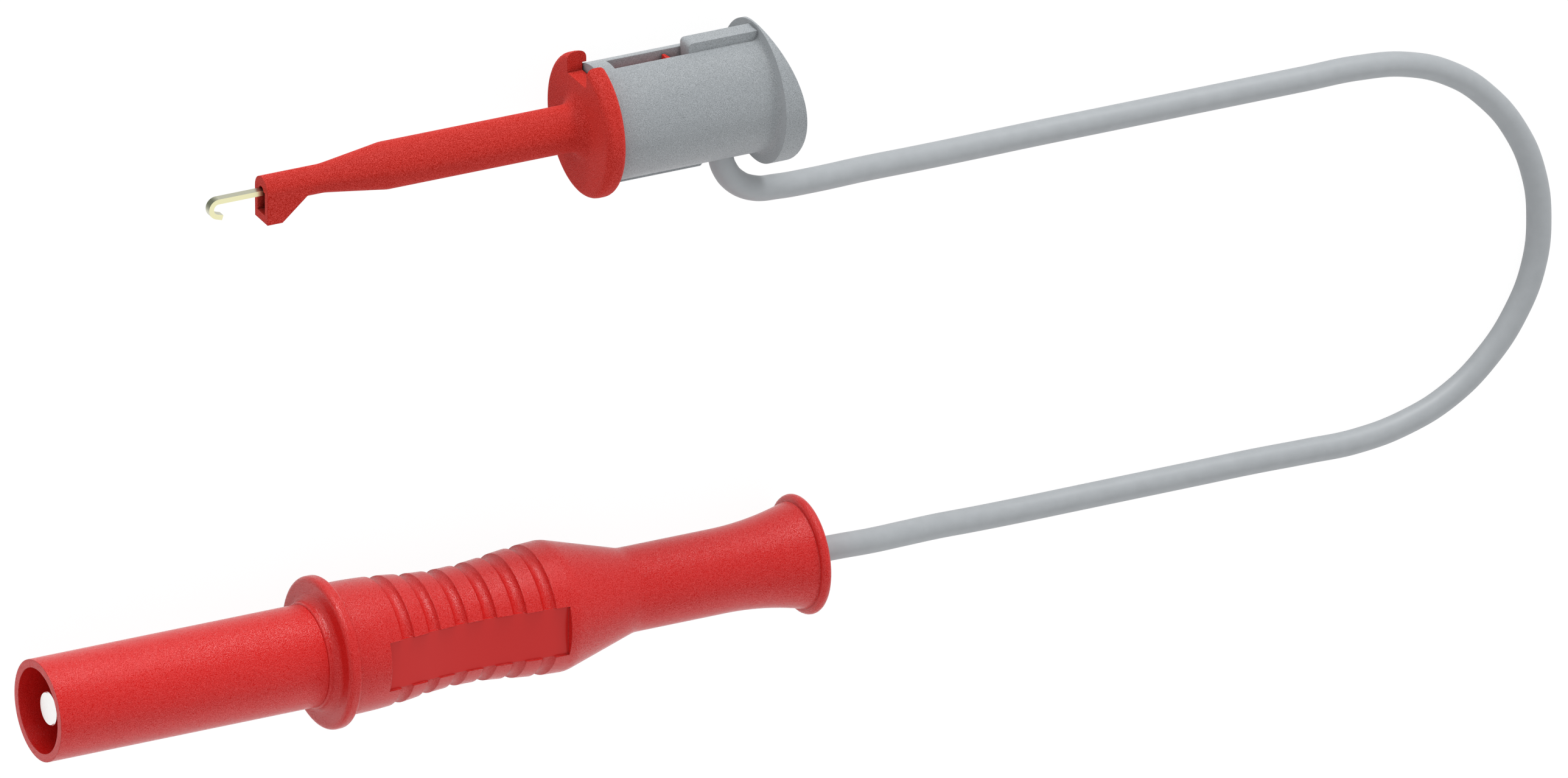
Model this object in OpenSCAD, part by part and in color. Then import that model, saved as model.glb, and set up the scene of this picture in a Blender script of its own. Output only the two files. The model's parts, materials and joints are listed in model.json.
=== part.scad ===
// Test lead: a sheathed 4 mm plug, a thin cord laid in one loop, and a sprung hook clip.
// The lead lies on the plane z = 0. X runs along the clip, from the hook to the thumb rest,
// and Y runs from the plug to the clip. Sizes are millimetres.

/* [Plug sleeve] */
// Bare length of the sleeve, from its mouth to the finger flange
sleeve_l = 28.1; // [26:0.1:34]
// Outside diameter of the sleeve
sleeve_d = 9.5; // [9.2:0.1:10.4]
// Inside diameter of the sleeve
sleeve_bore_d = 8; // [7:0.1:8.3]
// Depth of the sleeve's mouth
mouth_depth = 23; // [19:0.5:24]
// Diameter of the sleeve's root inside the grip
root_d = 9.1; // [8.6:0.1:9.1]
// Length of the sleeve's root, from the finger flange's face
root_l = 4.2; // [3:0.1:4.4]
// Diameter of the locking neck on the root
root_neck_d = 7.6; // [7:0.1:8.4]
// Length of the locking neck, which starts halfway along the root
root_neck_l = 1.2; // [0.8:0.1:1.4]

/* [Contact pin] */
// Distance from the sleeve's mouth down to the pin's tip
pin_recess = 1; // [0.5:0.05:2]
// Diameter of the pin's flat tip
pin_tip_d = 3.2; // [2.9:0.1:3.4]
// Length of the tip
pin_tip_l = 1.45; // [1:0.05:3]
// Chamfer round the tip
pin_chamfer = 0.1; // [0.05:0.05:0.4]
// Diameter of the pin under the cage
pin_core_d = 2.3; // [2:0.1:2.6]
// Diameter of the shank behind the cage
pin_shank_d = 3.9; // [3.5:0.1:4]
// Diameter of the collar that seats behind the sleeve's root
pin_collar_d = 5.6; // [4.6:0.1:6.4]
// Thickness of the collar
pin_collar_t = 1; // [0.6:0.1:2]
// Diameter of the crimp barrel
crimp_d = 3.2; // [2.8:0.1:4]
// Length of the crimp barrel
crimp_l = 7; // [5:0.5:9]
// Depth of the crimp barrel's bore
crimp_bore_l = 5.5; // [3:0.5:5.5]

/* [Contact cage] */
// Length of the cage
cage_l = 14.6; // [10:0.1:16]
// Largest diameter of the sprung strips
cage_d = 4; // [3.9:0.05:4.2]
// Thickness of the cage's sheet
cage_t = 0.15; // [0.1:0.05:0.2]
// Length of the solid band at each end of the cage
cage_band_l = 1.5; // [1:0.1:2.5]
// Number of sprung strips
cage_strips = 8; // [6:1:10]
// Width of the slit between two strips
cage_slit_w = 0.35; // [0.2:0.05:0.5]

/* [Grip] */
// Diameter of the finger flange
flange_d = 14.2; // [13.4:0.1:15.4]
// Thickness of the finger flange
flange_t = 1.25; // [1.1:0.05:2]
// Rounding of the flange's front edge
flange_round = 0.5; // [0.2:0.05:0.7]
// Rounding of the flange's back edge
flange_back_round = 0.35; // [0.1:0.05:0.4]
// Radius of the fillet between the sleeve and the flange
collar_fillet = 0.8; // [0.4:0.05:1]
// Radius of the rounded lip where the fillet starts on the sleeve
collar_lip = 0.2; // [0.08:0.02:0.3]
// Diameter of the grip at both ends
grip_d = 12.24; // [11.6:0.02:13]
// Length of the grip, from the flange to the cone
grip_l = 22.65; // [21:0.05:27]
// Diameter of the grip at its waist
waist_d = 10.74; // [10.2:0.02:11.5]
// Distance from the flange to the middle of the waist
waist_mid = 12.35; // [11:0.05:13]
// Radius along the hollow of the waist
waist_r = 35; // [25:1:45]
// Radius along the shoulders on both sides of the hollow
shoulder_r = 50; // [35:1:60]
// Length of the cone behind the grip
cone_l = 7.5; // [5:0.1:10]
// Rounding of the corners at both ends of the cone
cone_round = 3; // [1:0.5:3]
// Diameter of the neck
neck_d = 7.84; // [7:0.02:9]
// Length of the straight neck
neck_l = 9.65; // [6:0.05:14]
// Length of the flare behind the neck
flare_l = 8; // [6:0.1:10]
// Diameter of the flare where it meets the rim
flare_d = 10.02; // [9.2:0.02:10.4]
// Diameter of the rounded rim
rim_d = 11.2; // [10.6:0.1:12]
// Thickness of the rounded rim
rim_t = 1; // [0.8:0.1:1.2]

/* [Grip grooves and panel] */
// Number of finger grooves
groove_count = 6; // [3:1:6]
// Distance from the flange to the first groove's middle
groove_start = 5.45; // [5:0.05:6]
// Distance between the middles of two grooves
groove_pitch = 2.87; // [2.2:0.01:3]
// Width of a groove
groove_w = 1.35; // [0.8:0.05:1.6]
// Depth of a groove
groove_depth = 0.5; // [0.2:0.05:0.6]
// Distance from the flange to the sunk panel
panel_start = 3.5; // [3:0.1:5]
// Length of the sunk panel
panel_l = 18.3; // [14:0.1:18.5]
// Width of the sunk panel
panel_w = 4.8; // [4:0.1:6]
// Depth of the sunk panel along its middle
panel_depth = 0.75; // [0.6:0.05:1]

/* [Cord] */
// Outside diameter of the cord
cord_d = 2.34; // [2:0.02:2.6]
// Diameter of one strand of the conductor
strand_d = 0.56; // [0.5:0.01:0.6]
// Bare length of the strands between the crimp barrel and the cord's jacket
strand_bare_l = 0.6; // [0.3:0.1:2]

/* [Clip nose] */
// Width of the nose and diameter of the slim neck behind it
nose_w = 2.66; // [2.4:0.02:3]
// Distance from the clip's axis down to the foot of the nose
foot_h = 2.98; // [2.6:0.02:3.4]
// Length of the foot
foot_l = 1.5; // [1:0.05:3]
// Slope of the foot's back
foot_slope = 41; // [35:1:60]
// Width of the hook's window
window_w = 1.56; // [1.1:0.02:1.7]
// Distance from the clip's axis down to the window's sill
window_h = 2.2; // [2.1:0.05:2.4]
// Depth of the window
window_depth = 1.6; // [1.2:0.1:2]

/* [Clip barrel] */
// Distance from the nose's face to the end of the slim neck
slim_l = 6; // [5:0.1:9]
// Length of the barrel's cone
barrel_cone_l = 6.1; // [4:0.1:9]
// Rounding of the corners at both ends of the cone
barrel_round = 4; // [1:0.5:5]
// Diameter of the barrel
barrel_d = 4.38; // [3.8:0.02:5]
// Length of the barrel, from its cone to the finger flange
barrel_l = 19.4; // [16:0.1:26]
// Diameter of the finger flange on the barrel
finger_d = 13.5; // [12.8:0.1:15]
// Thickness of the finger flange
finger_t = 1.9; // [1.6:0.1:2.4]
// Rounding of the finger flange's edges
finger_round = 0.7; // [0.3:0.05:0.75]
// Fillet between the barrel and the finger flange
finger_fillet = 1.2; // [0.4:0.05:1.4]
// Depth of the recess in the finger flange that takes the plunger's end
recess_depth = 0.4; // [0.3:0.05:1]
// Width of the notch in the finger flange
notch_w = 4; // [2.4:0.1:4.6]
// Distance from the clip's axis to the floor of the notch
notch_h = 4.5; // [4.45:0.05:5]

/* [Plunger] */
// Outside diameter of the plunger
plunger_d = 11.04; // [10.6:0.02:11.2]
// Diameter of the plunger's cavity
cavity_d = 9; // [8.6:0.1:9.2]
// Length of the plunger, from its front end to the thumb rest
plunger_l = 16.1; // [15:0.05:20]
// Depth of the plunger's cavity
cavity_l = 10.4; // [10:0.1:10.8]
// Length of the bridge in front of the slot
bridge_l = 1.75; // [1.2:0.05:2.2]
// Length of the slot
slot_l = 7.4; // [7:0.05:7.8]
// Width of the slot, the rail and the rib
slot_w = 1.8; // [1.6:0.1:2.2]
// Height of the rail above the clip's axis
rail_h = 6.35; // [5.8:0.05:6.5]
// Rounding of the rail's front corner
rail_round = 0.4; // [0.1:0.05:0.6]
// Depth of the rib's edge below the clip's axis
rib_h = 5.95; // [5.7:0.05:6.2]
// Distance from the plunger's front end to the end of the rib
rib_end = 10.7; // [6:0.1:11]
// Diameter of the thumb rest
thumb_d = 13.5; // [12.8:0.1:15]
// Greatest thickness of the thumb rest
thumb_t = 2.2; // [2:0.1:3]
// Radius of the thumb rest's domed back
dome_r = 20.5; // [20:0.5:40]
// Distance that the dome's crest lies off the clip's axis, away from the slot
dome_off = 2.1; // [0:0.1:2.2]
// Fillet between the plunger and the thumb rest
thumb_fillet = 0.6; // [0.2:0.05:0.6]
// Distance from the plunger's front end to the cord's middle
cord_inlet = 12.68; // [12.6:0.02:13.4]

/* [Slide] */
// Travel of the barrel away from the plunger
stroke = 5; // [3:0.1:5.2]
// Gap between the plunger's end and the recess floor when it is pressed home
home_gap = 0.12; // [0.1:0.02:0.3]
// Clearance left between the catch and the bridge at the end of the travel
stop_gap = 0.45; // [0.05:0.05:0.5]
// Radial running clearance of the guide tube in the plunger's cavity
run_gap = 0.1; // [0.05:0.01:0.1]
// Bore of the guide tube
guide_bore_d = 6.8; // [6.4:0.1:7]
// Length of the guide tube behind the recess floor
guide_l = 8.8; // [8.7:0.1:9.4]
// Depth of the guide tube's bore
guide_depth = 7.4; // [6:0.1:7.6]
// Length of the catch
catch_l = 1.2; // [0.8:0.1:1.4]
// Height of the catch above the clip's axis
catch_h = 5.1; // [5.05:0.05:5.3]
// Side clearance of the catch in the slot
catch_gap = 0.2; // [0.1:0.05:0.3]

/* [Hook] */
// Height of the hook's flat wire
hook_t = 0.48; // [0.4:0.02:0.56]
// Width of the hook's flat wire
hook_w = 0.78; // [0.6:0.02:0.84]
// Distance that the wire lies off the clip's axis, towards the foot
hook_drop = 0.13; // [0:0.01:0.2]
// Distance from the nose's face to the middle of the hook's bend, pressed home
hook_reach = 4.36; // [4.2:0.02:5]
// Radius of the bend at the wire's middle
hook_bend_r = 0.74; // [0.5:0.02:0.8]
// Angle through which the hook turns
hook_turn = 163; // [120:1:170]
// Length of the turned-back tip
hook_tip_l = 0.6; // [0.5:0.05:1]
// Length of the hook inside its ferrule
hook_seat_l = 1.2; // [0.8:0.1:1.3]
// Running clearance of the hook's corners in the nose
hook_gap = 0.08; // [0.05:0.01:0.1]

/* [Ferrule and spring] */
// Diameter of the ferrule that joins the hook to the cord
ferrule_d = 2.4; // [2.2:0.1:2.8]
// Length of the ferrule
ferrule_l = 4.4; // [4:0.1:5]
// Wire of the return spring
spring_wire = 0.45; // [0.3:0.05:0.5]
// Outside diameter of the return spring
spring_d = 6.1; // [5:0.1:6.2]
// Number of coils in the return spring
spring_turns = 8; // [5:1:8]

/* [Layout] */
// Place of the plug's axis at the sleeve's mouth, across the lead
plug_y = -22.9; // [-30:0.1:-20]
// Turn of the plug on the table
plug_yaw = -1.08; // [-5:0.02:5]
// Place of the nose's face along the lead
clip_x = -15.9; // [-20:0.1:-10]
// Place of the clip's axis across the lead
clip_y = 23.7; // [20:0.1:30]

/* [Hidden] */
$fn = 64;
// Clearance between pieces that are moulded or pressed together
fit = 0.02;
// Overrun of a cut past the face it goes through
over = 1;
// Depth by which fused shapes run into each other
sink = 0.05;
red = [0.80, 0.10, 0.09];
grey = [0.60, 0.62, 0.63];
nickel = [0.80, 0.80, 0.78];
gold = [0.85, 0.80, 0.55];
copper = [0.78, 0.47, 0.30];

// Places along the plug's axis, from the sleeve's mouth
bare_l = sleeve_l - collar_fillet - collar_lip;
flange_back = sleeve_l + flange_t;
root_end = sleeve_l + root_l;
root_neck_start = sleeve_l + root_l / 2;
grip_end = flange_back + grip_l;
neck_start = grip_end + cone_l;
flare_start = neck_start + neck_l;
rim_start = flare_start + flare_l;
plug_l = rim_start + rim_t;
cage_start = pin_recess + pin_tip_l + fit;
shank_start = cage_start + cage_l + fit;
collar_end = root_end + pin_collar_t;
crimp_end = collar_end + crimp_l;
jacket_start = crimp_end + strand_bare_l;
waist_sag = (grip_d - waist_d) / 2;
waist_reach = sqrt(2 * (waist_r + shoulder_r) * waist_sag - waist_sag * waist_sag);
hollow_reach = waist_r * waist_reach / (waist_r + shoulder_r);
flare_rise = (flare_d - neck_d) / 2;
flare_r = (flare_l * flare_l + flare_rise * flare_rise) / (2 * flare_rise);
groove_r = (groove_w * groove_w / 4 + groove_depth * groove_depth) / (2 * groove_depth);

// The plug rests on its flange's rounded back edge and on its rim
rest_x = flange_back - flange_back_round;
rest_r = flange_d / 2 - flange_back_round;
rest_run = plug_l - rim_t / 2 - rest_x;
rest_drop = rest_r - (rim_d - rim_t) / 2;
plug_tilt = atan2(rest_drop, rest_run)
    - asin((rim_t / 2 - flange_back_round) / norm([rest_run, rest_drop]));
plug_z = rest_x * sin(plug_tilt) + rest_r * cos(plug_tilt) + flange_back_round;
plug_x = -plug_l * cos(plug_tilt) / 2;
plug_dir = [cos(plug_tilt) * cos(plug_yaw), cos(plug_tilt) * sin(plug_yaw), -sin(plug_tilt)];
plug_exit = [plug_x, plug_y, plug_z] + plug_l * plug_dir;

// Bundle of seven strands, one in the middle
strand_ring = strand_d * 0.98;
bundle_d = 2 * strand_ring + strand_d;
bundle_bore_d = bundle_d + 2 * fit;

// Places along the clip's axis, from the nose's face, with the plunger pressed home
nose_r = nose_w / 2;
barrel_start = slim_l + barrel_cone_l;
finger_x = barrel_start + barrel_l;
finger_back = finger_x + finger_t;
recess_x = finger_back - recess_depth;
plunger_x = recess_x + home_gap;
slot_x = plunger_x + bridge_l;
slot_end = slot_x + slot_l;
seat_x = plunger_x + cavity_l;
thumb_x = plunger_x + plunger_l;
inlet_x = plunger_x + cord_inlet;
recess_r = plunger_d / 2 + home_gap;
guide_r = cavity_d / 2 - run_gap;
guide_end = recess_x + guide_l;
guide_floor = guide_end - guide_depth;
catch_x = slot_x + stroke + stop_gap;
wire_bore_r = norm([hook_t, hook_w]) / 2 + hook_gap;
wire_way_r = wire_bore_r + 0.3;
hook_end = seat_x + hook_seat_l;
ferrule_r = ferrule_d / 2;
spring_r = (spring_d - spring_wire) / 2;
clip_z = max(finger_d, thumb_d) / 2;
clip_exit = [clip_x + inlet_x, clip_y - plunger_d / 2, clip_z];

// Route of the cord's middle from the plug to the clip, laid on the table
cord_points = concat(
    [plug_exit, plug_exit + 3 * plug_dir],
    [[46, -24.9, 4.8], [50, -25.5, 3.6], [54, -26.1, 2.4], [58, -26.6, 1.6], [63, -26.86, 1.2],
    [69, -26.86, 1.2], [75, -26.86, 1.2], [81, -26.86, 1.2], [87, -26.86, 1.2], [92.5, -26.96, 1.2],
    [97.6, -26.96, 1.2], [102.6, -26.1, 1.2], [107, -24.3, 1.2], [110.9, -21.2, 1.2],
    [113.9, -17.2, 1.2], [115.7, -12.8, 1.2], [116.2, -8, 1.2], [115.6, -3.4, 1.2],
    [113.8, 1.1, 1.2], [110.8, 5.2, 1.2], [107, 8.3, 1.2], [102.4, 10.2, 1.2],
    [97.4, 10.84, 1.2], [92, 10.84, 1.2], [85, 10.84, 1.2], [78, 10.84, 1.2], [71, 10.84, 1.2],
    [64, 10.84, 1.2], [58, 11, 1.6], [52, 11.4, 2.4], [46, 12.1, 3.7], [40, 12.8, 5.2],
    [36, 13.3, 6], [33.5, 13.8, 6.4], [31.5, 15, 6.6], [30.3, 16.7, 6.75]],
    [clip_exit]);
cord_sides = 8;

// Points of an arc, from angle a to angle b in steps
function arc(cx, cy, r, a, b, steps) =
    [for (i = [0:steps]) [cx + r * cos(a + (b - a) * i / steps), cy + r * sin(a + (b - a) * i / steps)]];

function unit(v) = v / norm(v);

// Points of the arc of radius r that rounds the corner b between the points a and c
function corner(a, b, c, r, steps) =
    let (u = unit(a - b), v = unit(c - b), half = acos(u * v) / 2, turn = 180 - 2 * half,
        centre = b + unit(u + v) * r / sin(half),
        first = b + u * r / tan(half) - centre, last = b + v * r / tan(half) - centre)
    [for (i = [0:steps])
        centre + (first * sin(turn * (1 - i / steps)) + last * sin(turn * i / steps)) / sin(turn)];

// Direction of a route at each of its points
function heading(route, i) =
    i == 0 ? plug_dir :
    i == len(route) - 1 ? [0, 1, 0] :
    unit(unit(route[i] - route[i - 1]) + unit(route[i + 1] - route[i]));

function ring(centre, dir, r, sides) =
    let (across = unit(cross(dir, [0, 0, 1])), rise = cross(across, dir))
    [for (k = [0:sides - 1])
        centre + r * (cos(360 * k / sides) * across + sin(360 * k / sides) * rise)];

// Faces of a closed tube made of rings with the same number of sides
function tube_faces(rings, sides) = concat(
    [[for (k = [0:sides - 1]) k]],
    [for (i = [0:rings - 2], k = [0:sides - 1])
        [i * sides + k, (i + 1) * sides + k, (i + 1) * sides + (k + 1) % sides, i * sides + (k + 1) % sides]],
    [[for (k = [sides - 1:-1:0]) (rings - 1) * sides + k]]);

// Turns a profile of [radius, distance] points round the X axis
module turned() {
    rotate([0, 90, 0]) rotate_extrude() children();
}

// Round bar on the X axis
module bar(d, from, to, fn = $fn) {
    translate([from, 0, 0]) rotate([0, 90, 0]) cylinder(d = d, h = to - from, $fn = fn);
}

module on_plug() {
    translate([plug_x, plug_y, plug_z]) rotate([0, plug_tilt, plug_yaw]) children();
}

module on_clip() {
    translate([clip_x, clip_y, clip_z]) children();
}

// Seven strands along the X axis
module strands(from, to) {
    bar(strand_d, from, to, 24);
    for (k = [0:5])
        rotate([60 * k, 0, 0]) translate([0, strand_ring, 0]) bar(strand_d, from, to, 24);
}

// Sleeve's necked root, or with a gap the cavity that holds it
module sleeve_root(from, gap = 0) {
    bar(root_d + 2 * gap, from, root_neck_start + gap);
    bar(root_neck_d + 2 * gap, from, root_end);
    bar(root_d + 2 * gap, root_neck_start + root_neck_l - gap, root_end + gap);
}

module plug_sleeve() {
    color(red) on_plug() difference() {
        union() {
            bar(sleeve_d, 0, bare_l);
            sleeve_root(bare_l - sink);
        }
        bar(sleeve_bore_d, -over, mouth_depth);
        bar(pin_shank_d + 2 * fit, -over, root_end + over);
    }
}

module contact_pin() {
    color(nickel) on_plug() difference() {
        turned() polygon([
            [0, pin_recess], [pin_tip_d / 2 - pin_chamfer, pin_recess],
            [pin_tip_d / 2, pin_recess + pin_chamfer], [pin_tip_d / 2, pin_recess + pin_tip_l],
            [pin_core_d / 2, pin_recess + pin_tip_l], [pin_core_d / 2, shank_start],
            [pin_shank_d / 2 - pin_chamfer, shank_start],
            [pin_shank_d / 2, shank_start + pin_chamfer], [pin_shank_d / 2, root_end + fit],
            [pin_collar_d / 2, root_end + fit], [pin_collar_d / 2, collar_end],
            [crimp_d / 2, collar_end], [crimp_d / 2, crimp_end], [0, crimp_end]]);
        bar(bundle_bore_d, crimp_end - crimp_bore_l, crimp_end + over, 32);
    }
}

// Cage of sprung strips round the pin, bulging in the middle
module contact_cage() {
    cage_r = pin_core_d / 2 + fit;
    bow_l = cage_l - 2 * cage_band_l;
    bow_h = cage_d / 2 - cage_t - cage_r;
    bow_r = (bow_l * bow_l / 4 + bow_h * bow_h) / (2 * bow_h);
    half = asin(bow_l / 2 / bow_r);
    middle = cage_start + cage_l / 2;
    hub = cage_r + bow_h - bow_r;
    inside = arc(hub, middle, bow_r, -half, half, 12);
    outside = arc(hub, middle, bow_r + cage_t, half, -half, 12);
    color(gold) on_plug() difference() {
        turned() polygon(concat(
            [[cage_r, cage_start]], inside, [[cage_r, cage_start + cage_l],
            [cage_r + cage_t, cage_start + cage_l]], outside, [[cage_r + cage_t, cage_start]]));
        for (k = [0:cage_strips - 1])
            rotate([360 * k / cage_strips, 0, 0])
                translate([cage_start + cage_band_l, -cage_slit_w / 2, 0])
                    cube([bow_l, cage_slit_w, cage_d]);
    }
}

module plug_conductor() {
    color(copper) on_plug() strands(crimp_end - crimp_bore_l + fit, plug_l);
}

// Jacket of the cord inside the plug
module plug_cord_end() {
    color(grey) on_plug() difference() {
        bar(cord_d, jacket_start, plug_l);
        bar(bundle_bore_d, jacket_start - over, plug_l + over, 32);
    }
}

// Radius of the grip at a distance from the flange: a hollow between two rounded shoulders
function grip_radius(place) =
    let (off = abs(place - waist_mid), inward = waist_reach - off)
    off < hollow_reach ? waist_d / 2 + waist_r - sqrt(waist_r * waist_r - off * off) :
    off < waist_reach ? grip_d / 2 - shoulder_r + sqrt(shoulder_r * shoulder_r - inward * inward) :
    grip_d / 2;

// Outline of the grip as [radius, distance] points
function grip_outline() =
    let (steps = 32, cone_a = [grip_radius(grip_l), grip_end], cone_b = [neck_d / 2, neck_start])
    concat(
        [[0, bare_l]],
        arc(sleeve_d / 2, bare_l + collar_lip, collar_lip, -90, -15, 4),
        arc(sleeve_d / 2 + collar_lip + collar_fillet, sleeve_l - collar_fillet, collar_fillet, 180, 90, 6),
        arc(flange_d / 2 - flange_round, sleeve_l + flange_round, flange_round, -90, 0, 6),
        arc(rest_r, rest_x, flange_back_round, 0, 90, 5),
        [for (i = [0:steps - 1]) [grip_radius(grip_l * i / steps), flange_back + grip_l * i / steps]],
        corner([cone_a[0], flange_back], cone_a, cone_b, cone_round, 4),
        corner(cone_a, cone_b, [neck_d / 2, flare_start], cone_round, 4),
        [for (p = arc(flare_start, neck_d / 2 + flare_r, flare_r, -90, -90 + asin(flare_l / flare_r), 12))
            [p[1], p[0]]],
        arc(rim_d / 2 - rim_t / 2, rim_start + rim_t / 2, rim_t / 2, -90, 90, 10),
        [[0, plug_l]]);

// Finger grooves round the grip, which stop at the sides of the sunk panel
module grooves() {
    difference() {
        for (k = [0:groove_count - 1]) {
            place = groove_start + k * groove_pitch;
            turned() translate([grip_radius(place) - groove_depth + groove_r, flange_back + place])
                circle(r = groove_r);
        }
        translate([flange_back + panel_start, -panel_w / 2, 0]) cube([panel_l, panel_w, grip_d]);
    }
}

// Space over the sunk panel, whose floor follows the waist
module panel_space() {
    steps = 16;
    translate([flange_back, panel_w / 2, 0]) rotate([90, 0, 0]) linear_extrude(panel_w)
        polygon(concat(
            [[panel_start + panel_l, grip_d], [panel_start, grip_d]],
            [for (i = [0:steps])
                let (place = panel_start + panel_l * i / steps)
                [place, grip_radius(place) - panel_depth]]));
}

module plug_grip() {
    color(red) on_plug() difference() {
        turned() polygon(grip_outline());
        grooves();
        panel_space();
        sleeve_root(bare_l - over, fit);
        bar(pin_collar_d + 2 * fit, root_end, collar_end + fit);
        bar(crimp_d + 2 * fit, root_end, jacket_start);
        bar(cord_d + 2 * fit, root_end, plug_l + over);
    }
}

module cord() {
    rings = len(cord_points);
    color(grey) polyhedron(
        points = [for (i = [0:rings - 1])
            each ring(cord_points[i], heading(cord_points, i), cord_d / 2, cord_sides)],
        faces = tube_faces(rings, cord_sides));
}

// Foot of the nose, seen from the side
module foot() {
    translate([0, 0, -nose_r]) linear_extrude(nose_w)
        polygon([[0, 0], [0, -foot_h], [foot_l, -foot_h], [foot_l + foot_h / tan(foot_slope), 0]]);
}

// Catch that stops the plunger sliding off, steep in front and sloped behind
module catch() {
    catch_w = slot_w - 2 * catch_gap;
    translate([catch_x, 0, -catch_w / 2]) linear_extrude(catch_w)
        polygon([[0, guide_bore_d / 2 + 0.3], [0, catch_h], [catch_l / 4, catch_h],
            [catch_l, guide_r], [catch_l, guide_bore_d / 2 + 0.3]]);
}

module clip_barrel() {
    barrel_r = barrel_d / 2;
    finger_r = finger_d / 2;
    cone_a = [nose_r, slim_l];
    cone_b = [barrel_r, barrel_start];
    color(red) on_clip() difference() {
        union() {
            turned() polygon(concat(
                [[0, 0], [nose_r, 0]],
                corner([nose_r, 0], cone_a, cone_b, barrel_round, 3),
                corner(cone_a, cone_b, [barrel_r, finger_x], barrel_round, 3),
                arc(barrel_r + finger_fillet, finger_x - finger_fillet, finger_fillet, 180, 90, 8),
                arc(finger_r - finger_round, finger_x + finger_round, finger_round, -90, 0, 6),
                arc(finger_r - finger_round, finger_back - finger_round, finger_round, 0, 90, 6),
                [[recess_r, finger_back], [recess_r, recess_x], [guide_r, recess_x],
                [guide_r, guide_end], [0, guide_end]]));
            foot();
            catch();
        }
        bar(guide_bore_d, guide_floor, guide_end + over);
        translate([0, -hook_drop, 0]) {
            bar(2 * wire_way_r, window_depth, guide_end, 32);
            bar(2 * wire_bore_r, -over, guide_end, 32);
        }
        translate([-over, -window_h, -window_w / 2])
            cube([over + window_depth, window_h, window_w]);
        translate([finger_x - over, notch_h, -notch_w / 2])
            cube([finger_t + 2 * over, finger_r, notch_w]);
    }
}

// Raised rail that closes the slot's way to the thumb rest
module rail() {
    root = cavity_d / 2;
    translate([0, 0, -slot_w / 2]) linear_extrude(slot_w)
        polygon(concat([[thumb_x + sink, root], [slot_end, root]],
            arc(slot_end + rail_round, rail_h - rail_round, rail_round, 180, 90, 6),
            [[thumb_x + sink, rail_h]]));
}

// Low rib under the plunger, from the finger flange to the cord
module rib() {
    rib_start = finger_back - plunger_x + home_gap;
    translate([plunger_x, 0, -slot_w / 2]) linear_extrude(slot_w)
        polygon([[rib_start, -cavity_d / 2], [rib_start, -rib_h], [rib_end - rail_round, -rib_h],
            [rib_end, -rib_h + rail_round], [rib_end, -cavity_d / 2]]);
}

// Round thumb rest, thin at the slot's side, with a domed back
module thumb_rest() {
    intersection() {
        turned() polygon(concat(
            [[0, thumb_x - thumb_fillet]],
            arc(plunger_d / 2 + thumb_fillet, thumb_x - thumb_fillet, thumb_fillet, 180, 90, 6),
            [[thumb_d / 2, thumb_x], [thumb_d / 2, thumb_x + thumb_t + over],
            [0, thumb_x + thumb_t + over]]));
        translate([thumb_x + thumb_t - dome_r, -dome_off, -thumb_d])
            cylinder(r = dome_r, h = 2 * thumb_d);
    }
}

module plunger() {
    color(grey) on_clip() difference() {
        union() {
            bar(plunger_d, plunger_x, thumb_x);
            thumb_rest();
            rail();
            rib();
        }
        bar(cavity_d, plunger_x - over, seat_x);
        translate([slot_x, 0, -slot_w / 2]) cube([slot_l, plunger_d, slot_w]);
        bar(ferrule_d + 2 * fit, seat_x - over, seat_x + ferrule_l + fit, 32);
        translate([inlet_x, 0, 0]) rotate([90, 0, 0]) cylinder(d = cord_d + 2 * fit, h = plunger_d);
    }
}

// Flat wire, bent back at its tip
module hook() {
    tip_angle = 90 + hook_turn;
    color(gold) on_clip() translate([0, -hook_drop, 0]) {
        translate([-hook_reach, -hook_t / 2, -hook_w / 2])
            cube([hook_reach + hook_end, hook_t, hook_w]);
        translate([-hook_reach, -hook_bend_r, 0]) {
            rotate([0, 0, 90]) rotate_extrude(angle = hook_turn)
                translate([hook_bend_r - hook_t / 2, -hook_w / 2]) square([hook_t, hook_w]);
            rotate([0, 0, tip_angle]) translate([hook_bend_r - hook_t / 2, 0, -hook_w / 2])
                cube([hook_t, hook_tip_l, hook_w]);
        }
    }
}

module hook_ferrule() {
    color(gold) on_clip() difference() {
        bar(ferrule_d, seat_x, seat_x + ferrule_l, 48);
        translate([0, -hook_drop, 0])
            bar(norm([hook_t, hook_w]) + 2 * fit, seat_x - over, hook_end + fit, 32);
        translate([inlet_x, 0, 0]) rotate([90, 0, 0])
            cylinder(d = bundle_bore_d, h = ferrule_d, $fn = 32);
    }
}

// Strands of the cord inside the plunger, soldered into the ferrule
module clip_conductor() {
    color(copper) on_clip() translate([inlet_x, 0, 0]) rotate([0, 0, -90])
        strands(fit, plunger_d / 2);
}

// Jacket of the cord inside the plunger
module clip_cord_end() {
    color(grey) on_clip() translate([inlet_x, 0, 0]) rotate([0, 0, -90]) difference() {
        bar(cord_d, ferrule_r + strand_bare_l, plunger_d / 2);
        bar(bundle_bore_d, 0, plunger_d / 2 + over, 32);
    }
}

// Coil between the guide tube's floor and the plunger's seat
module return_spring() {
    per_turn = 16;
    steps = spring_turns * per_turn;
    first = guide_floor + spring_wire / 2;
    travel = seat_x - spring_wire / 2 - first;
    sides = 8;
    color(nickel) on_clip() polyhedron(
        points = [for (i = [0:steps])
            let (turn = 360 * i / per_turn, middle = first + travel * i / steps)
            each [for (k = [0:sides - 1])
                let (out = spring_r + spring_wire / 2 * cos(360 * k / sides))
                [middle + spring_wire / 2 * sin(360 * k / sides), out * cos(turn), out * sin(turn)]]],
        faces = tube_faces(steps + 1, sides));
}

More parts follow.
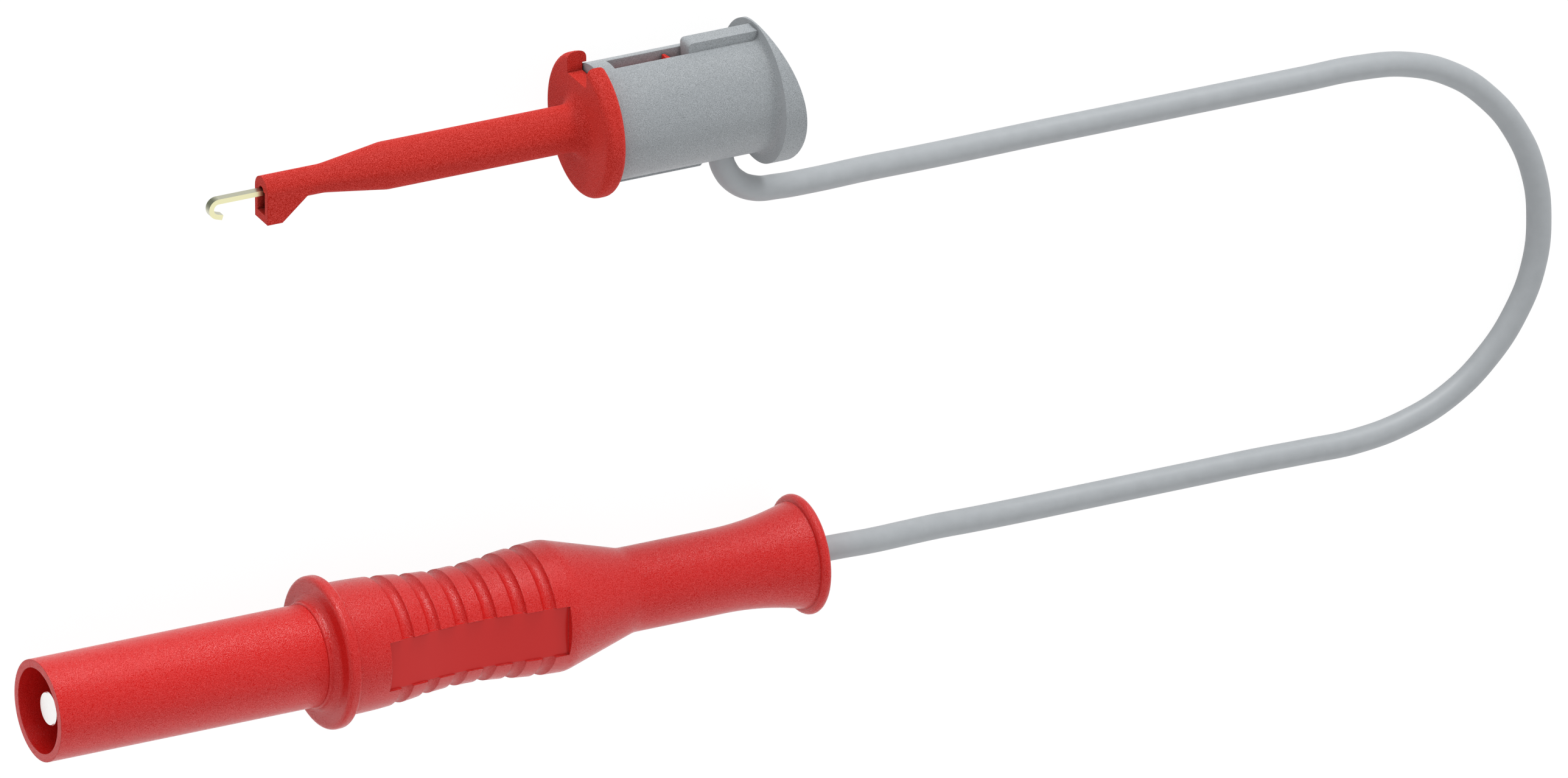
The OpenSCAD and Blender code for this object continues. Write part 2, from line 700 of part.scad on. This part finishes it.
plug_sleeve();
plug_grip();
contact_pin();
contact_cage();
plug_conductor();
plug_cord_end();
cord();
clip_barrel();
plunger();
hook();
hook_ferrule();
return_spring();
clip_conductor();
clip_cord_end();
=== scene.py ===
"""Looks, light and view of the test lead. Lengths are in metres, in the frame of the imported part."""
import json
import math

import bpy
from mathutils import Matrix, Vector


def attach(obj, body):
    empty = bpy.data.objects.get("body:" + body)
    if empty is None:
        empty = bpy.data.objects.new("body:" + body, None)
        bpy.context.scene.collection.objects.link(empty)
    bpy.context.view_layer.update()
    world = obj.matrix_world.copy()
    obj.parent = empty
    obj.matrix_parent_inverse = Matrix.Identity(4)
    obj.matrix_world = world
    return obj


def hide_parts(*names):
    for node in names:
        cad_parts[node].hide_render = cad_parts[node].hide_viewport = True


MM = 0.001

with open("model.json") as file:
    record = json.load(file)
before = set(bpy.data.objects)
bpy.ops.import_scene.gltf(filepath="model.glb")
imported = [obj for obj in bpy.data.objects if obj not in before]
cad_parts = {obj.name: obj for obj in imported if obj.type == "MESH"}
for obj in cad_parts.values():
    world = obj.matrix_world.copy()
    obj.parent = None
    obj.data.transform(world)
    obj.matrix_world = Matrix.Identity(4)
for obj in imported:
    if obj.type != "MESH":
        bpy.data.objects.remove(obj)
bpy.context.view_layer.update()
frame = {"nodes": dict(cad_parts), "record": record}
nodes = frame["nodes"]


def add_object(name, data):
    """New object of that data, linked into the scene."""
    made = bpy.data.objects.new(name, data)
    bpy.context.scene.collection.objects.link(made)
    return made


def outward(azimuth, elevation):
    """Direction from the part to what stands at that azimuth and elevation, in radians."""
    return Vector((
        math.sin(azimuth) * math.cos(elevation),
        -math.cos(azimuth) * math.cos(elevation),
        math.sin(elevation),
    ))


# View: a long lens, turned about its own axis as the photograph is
VIEW_AZIMUTH = math.radians(222.77)
VIEW_ELEVATION = math.radians(54.54)
VIEW_ROLL = math.radians(131.36)
VIEW_LENS = 800
VIEW_SENSOR = 36
VIEW_NEAR = 0.1
VIEW_FAR = 20
VIEW_DISTANCE = 3157.68 * MM
VIEW_RIGHT = 35.68 * MM
VIEW_UP = -1.98 * MM


def view_axes():
    """Right, up and backward of the camera in the part's frame."""
    back = outward(VIEW_AZIMUTH, VIEW_ELEVATION)
    level = Vector((math.cos(VIEW_AZIMUTH), math.sin(VIEW_AZIMUTH), 0))
    right = Matrix.Rotation(VIEW_ROLL, 3, back) @ level
    return right, back.cross(right), back


def make_camera():
    right, up, back = view_axes()
    data = bpy.data.cameras.new("camera")
    data.lens = VIEW_LENS
    data.sensor_width = VIEW_SENSOR
    data.clip_start = VIEW_NEAR
    data.clip_end = VIEW_FAR
    camera = add_object("camera", data)
    place = right * VIEW_RIGHT + up * VIEW_UP + back * VIEW_DISTANCE
    turn = Matrix((right, up, back)).transposed().to_4x4()
    camera.matrix_world = Matrix.Translation(place) @ turn
    bpy.context.scene.camera = camera


make_camera()

# The plug's axis, from the mount on its sleeve, in millimetres from its mouth
SLEEVE = next(m for m in frame["record"]["mounts"] if m["name"] == "sleeve")
PLUG_DIR = -Vector(SLEEVE["axis"])
PLUG_MOUTH = Vector(SLEEVE["pos_m"]) / MM - PLUG_DIR * SLEEVE["dims"]["length_mm"] / 2
PLUG_L = 78.15
PLUG_EXIT = PLUG_MOUTH + PLUG_L * PLUG_DIR
CLIP_EXIT = Vector((29.9, 18.18, 6.75))

# Cord: the route of its middle, in millimetres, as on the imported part
CORD_D = 2.34
CORD_STRAIGHT = 3
CORD_POINTS = [
    PLUG_EXIT, PLUG_EXIT + CORD_STRAIGHT * PLUG_DIR,
    (46, -24.9, 4.8), (50, -25.5, 3.6), (54, -26.1, 2.4), (58, -26.6, 1.6), (63, -26.86, 1.2),
    (69, -26.86, 1.2), (75, -26.86, 1.2), (81, -26.86, 1.2), (87, -26.86, 1.2), (92.5, -26.96, 1.2),
    (97.6, -26.96, 1.2), (102.6, -26.1, 1.2), (107, -24.3, 1.2), (110.9, -21.2, 1.2),
    (113.9, -17.2, 1.2), (115.7, -12.8, 1.2), (116.2, -8, 1.2), (115.6, -3.4, 1.2),
    (113.8, 1.1, 1.2), (110.8, 5.2, 1.2), (107, 8.3, 1.2), (102.4, 10.2, 1.2),
    (97.4, 10.84, 1.2), (92, 10.84, 1.2), (85, 10.84, 1.2), (78, 10.84, 1.2), (71, 10.84, 1.2),
    (64, 10.84, 1.2), (58, 11, 1.6), (52, 11.4, 2.4), (46, 12.1, 3.7), (40, 12.8, 5.2),
    (36, 13.3, 6), (33.5, 13.8, 6.4), (31.5, 15, 6.6), (30.3, 16.7, 6.75), CLIP_EXIT,
]
CORD_STEPS = 8
CORD_RING = 10


def make_cord():
    data = bpy.data.curves.new("cord_line", "CURVE")
    data.dimensions = "3D"
    data.resolution_u = CORD_STEPS
    data.bevel_depth = 1  # the radius is on the knots, because the curve's box grows by theirs
    data.bevel_resolution = CORD_RING
    spline = data.splines.new("BEZIER")
    spline.bezier_points.add(len(CORD_POINTS) - 1)
    for knot, point in zip(spline.bezier_points, CORD_POINTS):
        knot.co = Vector(point) * MM
        knot.handle_left_type = "AUTO"
        knot.handle_right_type = "AUTO"
        knot.radius = CORD_D / 2 * MM
    cord = add_object("free_cord", data)
    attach(cord, "lead")
    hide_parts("cord")
    return cord


cord = make_cord()

# Materials: the values between which most of a noise lies, and the samples of the costly nodes
NOISE_LOW = 0.3
NOISE_MIDDLE = 0.5
NOISE_HIGH = 0.7
EDGE_SAMPLES = 4
HIDDEN_SAMPLES = 8
WHITE = (1, 1, 1)


class Nodes:
    """Node tree of a new material, with short calls to add and join nodes."""

    def __init__(self, name):
        self.material = bpy.data.materials.new(name)
        self.material.use_nodes = True
        self.tree = self.material.node_tree
        self.shader = self.tree.nodes["Principled BSDF"]
        where = self.tree.nodes.new("ShaderNodeTexCoord")
        self.place, self.normal = where.outputs["Object"], where.outputs["Normal"]

    def add(self, kind, **values):
        node = self.tree.nodes.new(kind)
        for key, value in values.items():
            setattr(node, key, value)
        return node

    def join(self, out, into):
        self.tree.links.new(out, into)

    def feed(self, into, value):
        """Give an input a link or a plain value."""
        if hasattr(value, "links"):
            self.join(value, into)
        else:
            into.default_value = (*value, 1) if isinstance(value, tuple) else value

    def noise(self, size, detail, rough):
        """Noise whose features are about size across."""
        node = self.add("ShaderNodeTexNoise")
        node.inputs["Scale"].default_value = 1 / size
        node.inputs["Detail"].default_value = detail
        node.inputs["Roughness"].default_value = rough
        self.join(self.place, node.inputs["Vector"])
        return node.outputs["Fac"]

    def ramp(self, value, *stops):
        """Colour by value, from (place, colour) stops."""
        node = self.add("ShaderNodeValToRGB")
        band = node.color_ramp
        while len(band.elements) < len(stops):
            band.elements.new(NOISE_MIDDLE)
        for element, (at, colour) in zip(band.elements, stops):
            element.position = at
            element.color = (*colour, 1)
        self.join(value, node.inputs["Fac"])
        return node.outputs["Color"]

    def span(self, value, low, high):
        """Number that goes from low to high with the middle of the noise."""
        node = self.add("ShaderNodeMapRange")
        self.join(value, node.inputs["Value"])
        ends = (("From Min", NOISE_LOW), ("From Max", NOISE_HIGH), ("To Min", low), ("To Max", high))
        for key, number in ends:
            node.inputs[key].default_value = number
        return node.outputs["Result"]

    def edge(self, radius):
        """Normal that rounds sharp edges by that radius."""
        node = self.add("ShaderNodeBevel", samples=EDGE_SAMPLES)
        node.inputs["Radius"].default_value = radius
        return node.outputs["Normal"]

    def hidden(self, reach, own):
        """1 on an open face, less where walls nearer than reach close it in: own ones, or any piece's."""
        node = self.add("ShaderNodeAmbientOcclusion", samples=HIDDEN_SAMPLES, only_local=own)
        node.inputs["Distance"].default_value = reach
        return node.outputs["AO"]

    def calc(self, operation, first, second, third=0.0):
        """One number out of up to three, each a link or a plain number."""
        node = self.add("ShaderNodeMath", operation=operation)
        for into, value in zip(node.inputs, (first, second, third)):
            self.feed(into, value)
        return node.outputs[0]

    def box(self, place, turn, middle, half):
        """1 inside a box given by middle and half sizes in a turned frame at place, 0 outside."""
        move = self.add("ShaderNodeMapping", vector_type="TEXTURE")
        move.inputs["Location"].default_value = place
        move.inputs["Rotation"].default_value = turn
        self.join(self.place, move.inputs["Vector"])
        split = self.add("ShaderNodeSeparateXYZ")
        self.join(move.outputs["Vector"], split.inputs[0])
        x, y, z = [self.calc("COMPARE", out, m, h) for out, m, h in zip(split.outputs, middle, half)]
        return self.calc("MULTIPLY", self.calc("MULTIPLY", x, y), z)

    def facing(self, direction):
        """Cosine between the face and a direction of the piece's frame."""
        node = self.add("ShaderNodeVectorMath", operation="DOT_PRODUCT")
        self.join(self.normal, node.inputs[0])
        node.inputs[1].default_value = Vector(direction).normalized()
        return node.outputs["Value"]

    def mix(self, share, first, second, blend="MIX"):
        """Blend of two colours by share, each a link or a plain value."""
        node = self.add("ShaderNodeMix", data_type="RGBA", blend_type=blend)
        for into, value in ((node.inputs[0], share), (node.inputs[6], first), (node.inputs[7], second)):
            self.feed(into, value)
        return node.outputs[2]

    def bump(self, height, depth, below=None):
        node = self.add("ShaderNodeBump")
        node.inputs["Distance"].default_value = depth
        self.join(height, node.inputs["Height"])
        if below is not None:
            self.join(below, node.inputs["Normal"])
        return node.outputs["Normal"]

    def finish(self, colour, normal, **values):
        """Material whose shader takes a linked colour and normal, and plain values elsewhere."""
        names = {"rough": "Roughness", "metal": "Metallic", "spec": "Specular IOR Level",
                 "matte": "Diffuse Roughness"}
        for key, value in values.items():
            self.shader.inputs[names[key]].default_value = value
        self.join(colour, self.shader.inputs["Base Color"])
        self.join(normal, self.shader.inputs["Normal"])
        return self.material


def shade(colour, factor):
    return tuple(min(1, c * factor) for c in colour)


# Moulded plastic: size, detail and roughness of its grain, and what counts as closed in and as open for the
# painted shade in corners
GRAIN = (0.07 * MM, 1.0, 0.7)
GRAIN_DEPTH = 0.033 * MM
EDGE_ROUND = 0.1 * MM
CLOSED_IN = 0.15
OPEN = 0.75


def grains(colour, share, step, lit):
    """Stops for dark and bright grains, which differ from the colour by a share of it and by a step.

    The step is alike on every channel. Bright grains are lit times as strong, and rarer for it.
    """
    dark = tuple(max(0, c * (1 - share) - step) for c in colour)
    bright = tuple(c * (1 + share * lit) + step * lit for c in colour)
    bright_at = NOISE_MIDDLE + (NOISE_HIGH - NOISE_MIDDLE) * lit ** 0.5
    return (NOISE_LOW, dark), (NOISE_MIDDLE, colour), (bright_at, bright)


def moulded(name, colour, rough, shine=0.32, corner_shade=0.35, reach=1.2 * MM, own=True, plain=None,
            share=0.17, step=0.009, lit=1.0, matte=0.0):
    """Plastic from a spark-eroded mould: fine speckle in colour, shine and height, and painted shade in
    tight corners.

    A painted shade darkens tight corners, leaving the tightest one the given share of its colour, and plain
    is a box that the speckle leaves out.
    """
    n = Nodes(name)
    fine = n.noise(*GRAIN)
    if plain is not None:
        smooth = n.box(*plain)
        fine = n.calc("ADD", n.calc("MULTIPLY", fine, n.calc("SUBTRACT", 1.0, smooth)),
                      n.calc("MULTIPLY", smooth, NOISE_MIDDLE))
    tint = n.ramp(fine, *grains(colour, share, step, lit))
    # Painted shade: the colour darkens where walls close the face in, down to the given share in the
    # tightest corner
    lighting = n.ramp(n.hidden(reach, own), (CLOSED_IN, (corner_shade, corner_shade, corner_shade)), (OPEN, WHITE))
    tint = n.mix(1.0, tint, lighting, "MULTIPLY")
    n.join(n.span(fine, 0.0, 2 * shine), n.shader.inputs["Specular IOR Level"])
    bumps = n.bump(fine, GRAIN_DEPTH, below=n.edge(EDGE_ROUND))
    # The export drops the speckle's link to the shine, and takes the plain value
    return n.finish(colour=tint, normal=bumps, rough=rough, spec=shine, matte=matte)


# Smooth plastic: size, detail and roughness of its unevenness
UNEVEN = (1.2 * MM, 2.0, 0.5)
UNEVEN_DEPTH = 0.004 * MM
UNEVEN_SHARE = 0.03


def smooth_plastic(name, colour, rough):
    """Plain moulded face with a slight unevenness."""
    n = Nodes(name)
    soft = n.noise(*UNEVEN)
    dark, light = shade(colour, 1 - UNEVEN_SHARE), shade(colour, 1 + UNEVEN_SHARE)
    tint = n.ramp(soft, (NOISE_LOW, dark), (NOISE_HIGH, light))
    return n.finish(colour=tint, normal=n.bump(soft, UNEVEN_DEPTH), rough=rough)


# Drawn and plated metal: size, detail and roughness of its marks
MARKS = (0.4 * MM, 3.0, 0.6)
MARK_DEPTH = 0.001 * MM
MARK_SHADE = 0.97


def plated(name, colour, rough):
    """Plated metal with faint draw marks."""
    n = Nodes(name)
    marks = n.noise(*MARKS)
    tint = n.ramp(marks, (NOISE_LOW, shade(colour, MARK_SHADE)), (NOISE_HIGH, colour))
    return n.finish(colour=tint, normal=n.bump(marks, MARK_DEPTH), rough=rough, metal=1.0)


# Hook: the way its bend looks, how far the painted shade of sides and bend reaches round it, and how flat a
# face lies that keeps the bright colour
BEND_WAY = (-1, 1, 0)
SIDE_AT = 0.6
BEND_AT = 0.98
UP = (0, 0, 1)
FLAT_WITHIN = 0.3
# Painted shade inside the nose: how far its walls reach, how closed in and how open a face counts, and the
# shade's colour
NOSE_REACH = 1.5 * MM
NOSE_DEEP = 0.2
NOSE_OPEN = 0.7
NOSE_SHADE = (0.12, 0.05, 0.04)


def hook_plate(name, face, side, bend, rough):
    """Pale gold flat wire, with light and shade painted by face direction: upward faces bright, painted
    shade on the sheared sides, darkest round the bend, and painted shade inside the nose.
    """
    n = Nodes(name)
    marks = n.noise(*MARKS)
    # Painted light and shade by face direction: upward faces keep the bright colour, the sides and the
    # outside of the bend are painted darker
    direction_shade = n.ramp(n.facing(BEND_WAY), (SIDE_AT, side), (BEND_AT, bend))
    flat = n.calc("COMPARE", n.facing(UP), 1.0, FLAT_WITHIN)
    # Painted shade inside the nose, where its walls close the wire in
    nose = n.ramp(n.hidden(NOSE_REACH, False), (NOSE_DEEP, NOSE_SHADE), (NOSE_OPEN, WHITE))
    tint = n.mix(1.0, n.mix(flat, direction_shade, face), nose, "MULTIPLY")
    return n.finish(colour=tint, normal=n.bump(marks, MARK_DEPTH), rough=rough, metal=1.0)


# The grip's smooth panel, in millimetres along, across and above the plug's axis
PANEL_MIDDLE = (42, 0, 5)
PANEL_HALF = (9.12, 2.37, 5)
PLUG_TURN = (0, -math.asin(PLUG_DIR.z), math.atan2(PLUG_DIR.y, PLUG_DIR.x))
PANEL = (PLUG_MOUTH * MM, PLUG_TURN, Vector(PANEL_MIDDLE) * MM, Vector(PANEL_HALF) * MM)

RED = (0.64, 0.014, 0.012)
# The grip's red is the sleeve's red made a little darker, as painted shade
GRIP_RED_SHADED = (0.6, 0.014, 0.012)
CLIP_RED = (0.605, 0.037, 0.027)
GREY = (0.388, 0.414, 0.433)
JACKET = (0.37, 0.392, 0.41)
NICKEL = (0.95, 0.95, 0.94)
GOLD = (0.83, 0.78, 0.52)
# Hook colours: its own face colour, and painted shade for its sides and bend
HOOK_FACE = (0.83, 0.8, 0.5)
HOOK_SIDE_SHADE = (0.6, 0.6, 0.46)
HOOK_BEND_SHADE = (0.14, 0.15, 0.1)
COPPER = (0.75, 0.42, 0.27)
STEEL = (0.62, 0.62, 0.62)

gold = plated("pale_gold", GOLD, 0.35)
copper = plated("copper_strand", COPPER, 0.3)
jacket = smooth_plastic("cord_jacket", JACKET, 0.5)

FINISH = {
    "plug_sleeve": moulded("red_moulded", RED, 0.22),
    "plug_grip": moulded("red_grip_moulded", GRIP_RED_SHADED, 0.22, corner_shade=0.6, reach=0.5 * MM, plain=PANEL),
    "clip_barrel": moulded("red_clip_moulded", CLIP_RED, 0.6, shine=0.12, corner_shade=0.12, reach=1.8 * MM,
                           share=0.2, step=0.023, lit=2.0, matte=1.0),
    "plunger": moulded("grey_moulded", GREY, 0.4, corner_shade=0.25, reach=0.8 * MM, own=False,
                       share=0.23, matte=1.0),
    "contact_pin": plated("nickel_plate", NICKEL, 0.25),
    "contact_cage": gold,
    "hook": hook_plate("hook_gold", HOOK_FACE, HOOK_SIDE_SHADE, HOOK_BEND_SHADE, 0.3),
    "hook_ferrule": gold,
    "plug_conductor": copper,
    "clip_conductor": copper,
    "plug_cord_end": jacket,
    "clip_cord_end": jacket,
    "return_spring": plated("spring_steel", STEEL, 0.3),
}


def dress(piece, material):
    if not piece.material_slots:
        piece.data.materials.append(material)
    for place in piece.material_slots:
        place.material = material


for name, material in FINISH.items():
    dress(nodes[name], material)
dress(cord, jacket)

# Stage: a pale floor, which the camera sees as white, and white surroundings
FLOOR_HALF = 3.0
FLOOR_GREY = 0.8
FLOOR_GLOW = 0.95
FLOOR_SHARE = 0.1
SKY = 0.735

# Lamps that look at the part's middle: degrees round it and up, metres wide and high, and watts
LAMP_AIM = Vector((0.03, 0, 0))
LAMP_DISTANCE = 1.2
LAMPS = {
    "key": dict(azimuth=163, elevation=10, size=(0.3, 0.3), power=2.7, mirrored=False),
    "streak": dict(azimuth=175, elevation=5, size=(1.05, 0.17), power=6.2),
    "rim": dict(azimuth=193, elevation=5, size=(0.62, 0.14), power=7.5, spread=False),
    "fill": dict(azimuth=25, elevation=10, size=(1.0, 1.0), power=1.7),
}


def camera_ray(tree):
    """1 for what the camera or a mirror-like surface looks at, otherwise 0."""
    path = tree.nodes.new("ShaderNodeLightPath")
    total = path.outputs["Is Camera Ray"]
    for name in ("Is Glossy Ray", "Is Transmission Ray"):
        node = tree.nodes.new("ShaderNodeMath")
        node.operation = "MAXIMUM"
        tree.links.new(total, node.inputs[0])
        tree.links.new(path.outputs[name], node.inputs[1])
        total = node.outputs[0]
    return total


def make_world():
    """Sky that lights the part at its own level and looks white."""
    world = bpy.data.worlds.new("studio")
    bpy.context.scene.world = world
    world.use_nodes = True
    tree = world.node_tree
    tree.nodes.clear()
    out = tree.nodes.new("ShaderNodeOutputWorld")
    mix = tree.nodes.new("ShaderNodeMixShader")
    tree.links.new(camera_ray(tree), mix.inputs[0])
    for into, strength in ((mix.inputs[1], SKY), (mix.inputs[2], 1)):
        light = tree.nodes.new("ShaderNodeBackground")
        light.inputs["Color"].default_value = (*WHITE, 1)
        light.inputs["Strength"].default_value = strength
        tree.links.new(light.outputs[0], into)
    tree.links.new(mix.outputs[0], out.inputs[0])


def make_floor():
    """Floor that lights the part as pale grey, and looks white apart from the part's shadow."""
    n = Nodes("floor")
    plain, dim = n.add("ShaderNodeBsdfDiffuse"), n.add("ShaderNodeBsdfDiffuse")
    for shader, level in ((plain, FLOOR_GREY), (dim, FLOOR_SHARE)):
        shader.inputs["Color"].default_value = (level, level, level, 1)
    glow = n.add("ShaderNodeEmission")
    glow.inputs["Strength"].default_value = FLOOR_GLOW
    both = n.add("ShaderNodeAddShader")
    mix = n.add("ShaderNodeMixShader")
    n.join(dim.outputs[0], both.inputs[0])
    n.join(glow.outputs[0], both.inputs[1])
    n.join(camera_ray(n.tree), mix.inputs[0])
    n.join(plain.outputs[0], mix.inputs[1])
    n.join(both.outputs[0], mix.inputs[2])
    n.join(mix.outputs[0], n.tree.nodes["Material Output"].inputs["Surface"])
    mesh = bpy.data.meshes.new("floor")
    corners = [(-1, -1), (1, -1), (1, 1), (-1, 1)]
    mesh.from_pydata([(x * FLOOR_HALF, y * FLOOR_HALF, 0) for x, y in corners], [], [(0, 1, 2, 3)])
    mesh.materials.append(n.material)
    add_object("floor", mesh)


def make_lamp(name, azimuth, elevation, size, power, mirrored=True, spread=True):
    """Soft lamp that shiny faces mirror and matte ones spread, unless it is told not to."""
    back = outward(math.radians(azimuth), math.radians(elevation))
    data = bpy.data.lights.new(name, "AREA")
    data.shape = "RECTANGLE"
    data.size, data.size_y = size
    data.energy = power
    lamp = add_object(name, data)
    lamp.visible_glossy = mirrored
    lamp.visible_diffuse = spread
    lamp.location = LAMP_AIM + back * LAMP_DISTANCE
    lamp.rotation_mode = "QUATERNION"
    lamp.rotation_quaternion = (-back).to_track_quat("-Z", "Y")


make_world()
make_floor()
for name, values in LAMPS.items():
    make_lamp(name, **values)

bpy.context.scene.view_settings.view_transform = "Standard"

bpy.context.view_layer.update()
